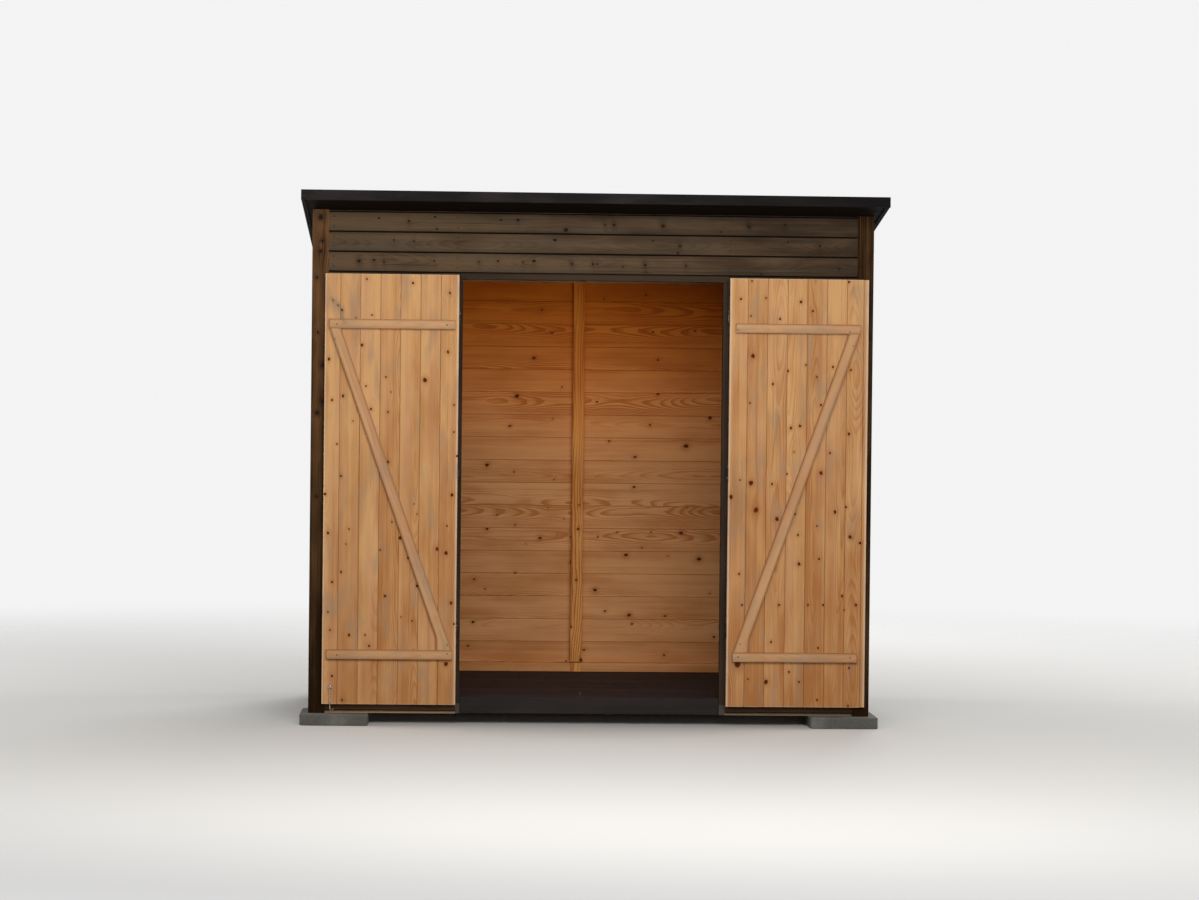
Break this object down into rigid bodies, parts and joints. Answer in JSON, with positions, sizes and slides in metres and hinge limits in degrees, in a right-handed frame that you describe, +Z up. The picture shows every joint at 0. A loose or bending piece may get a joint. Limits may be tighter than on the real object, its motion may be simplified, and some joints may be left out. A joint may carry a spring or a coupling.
{
  "type": "log store",
  "caption": "Boarded timber log store with a lean-to roof, a raised timber floor, ledged and braced doors that fold flat against the front, and a cabin hook, on concrete pavers.",
  "frame": {"origin": "middle of the ground outline, on the ground under the pavers", "axes": "+Z up, -Y out of the doorway, +X to the right as seen from the front"},
  "size_m": [2.56, 1.842, 2.3386],
  "materials": {
    "door_pine": "matte",
    "raw_pine": "matte",
    "board_stain": "satin",
    "post_stain": "satin",
    "jamb_stain": "satin",
    "floor_stain": "satin",
    "edge_paint": "satin",
    "roofing_felt": "matte",
    "zinc_steel": "satin",
    "concrete": "matte"
  },
  "bodies": {
    "store": {"back_beam": "raw_pine", "back_boards": "board_stain", "back_bottom_rail": "raw_pine", "back_posts": "post_stain", "back_studs": "raw_pine", "back_top_plate": "raw_pine", "bargeboards": "edge_paint", "door_jambs": "jamb_stain", "fascia_back": "edge_paint", "fascia_front": "edge_paint", "floor_boards": "floor_stain", "floor_joists": "raw_pine", "front_left_boards": "board_stain", "front_posts": "post_stain", "front_right_boards": "board_stain", "front_sole_plates": "raw_pine", "front_studs": "raw_pine", "front_top_boards": "board_stain", "front_top_plate": "raw_pine", "hook_keeper": "zinc_steel", "left_boards": "board_stain", "left_hinge_frame_leaves": "zinc_steel", "lintel": "jamb_stain", "pavers": "concrete", "rafters": "raw_pine", "right_boards": "board_stain", "right_hinge_frame_leaves": "zinc_steel", "roof_covering": "roofing_felt", "roof_deck": "raw_pine", "side_beams": "raw_pine", "side_bottom_rails": "raw_pine", "side_studs": "raw_pine", "side_top_rails": "raw_pine", "threshold": "floor_stain"},
    "left_door": {"left_door_boards": "door_pine", "left_door_ledges": "door_pine", "left_door_brace": "door_pine", "left_hinge_door_leaves": "zinc_steel", "hook_eye": "zinc_steel"},
    "right_door": {"right_door_boards": "door_pine", "right_door_ledges": "door_pine", "right_door_brace": "door_pine", "right_hinge_door_leaves": "zinc_steel"},
    "hook": {"hook": "zinc_steel"}
  },
  "joints": [
    {"name": "left_door_swing", "type": "hinge", "parent": "store", "child": "left_door", "pos_m": [-0.59, -0.685, 1], "axis": [0, 0, 1], "range_deg": [0, 180]},
    {"name": "right_door_swing", "type": "hinge", "parent": "store", "child": "right_door", "pos_m": [0.5995, -0.685, 1], "axis": [0, 0, -1], "range_deg": [0, 180]},
    {"name": "hook_swing", "type": "hinge", "parent": "left_door", "child": "hook", "pos_m": [-1.1425, -0.72, 0.1688], "axis": [-1, 0, 0], "range_deg": [0, 90]}
  ]
}
